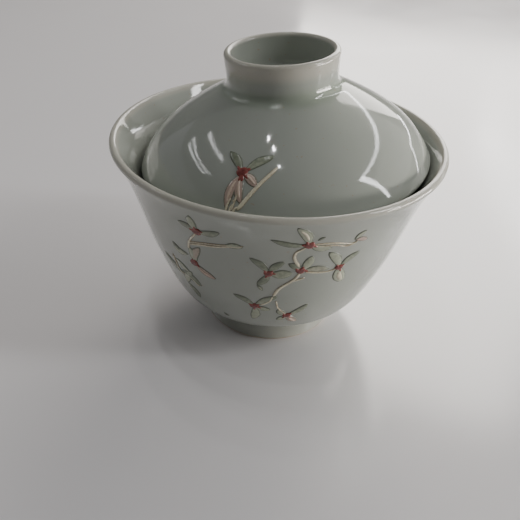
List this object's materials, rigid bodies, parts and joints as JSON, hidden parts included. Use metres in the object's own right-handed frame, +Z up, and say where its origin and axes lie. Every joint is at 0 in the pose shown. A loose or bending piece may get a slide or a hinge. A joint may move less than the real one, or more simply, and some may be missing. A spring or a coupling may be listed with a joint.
{
  "type": "gaiwan lidded tea bowl",
  "caption": "Lidded porcelain tea bowl with flared lip, foot ring and a domed lid with a hollow ring knob that lifts off.",
  "frame": {"origin": "middle of the foot ring's underside, on the surface the bowl stands on", "axes": "+Z up along the bowl's axis, and +X and +Y level; the seated lid leans 4.9 degrees towards -X"},
  "size_m": [0.094, 0.094, 0.0843],
  "materials": {
    "bowl_glaze": "glossy pale celadon glaze",
    "lid_glaze": "glossy pale celadon glaze",
    "leaf_enamel": "raised overglaze enamel, leaf green",
    "petal_enamel": "raised overglaze enamel, cream",
    "blossom_enamel": "overglaze enamel, iron red"
  },
  "bodies": {
    "bowl": {"bowl": "bowl_glaze"},
    "lid": {"lid": "lid_glaze"}
  },
  "joints": [
    {"name": "lid_lift", "type": "slide", "parent": "bowl", "child": "lid", "axis": [0, 0, 1], "range_m": [0, 0.07]}
  ]
}
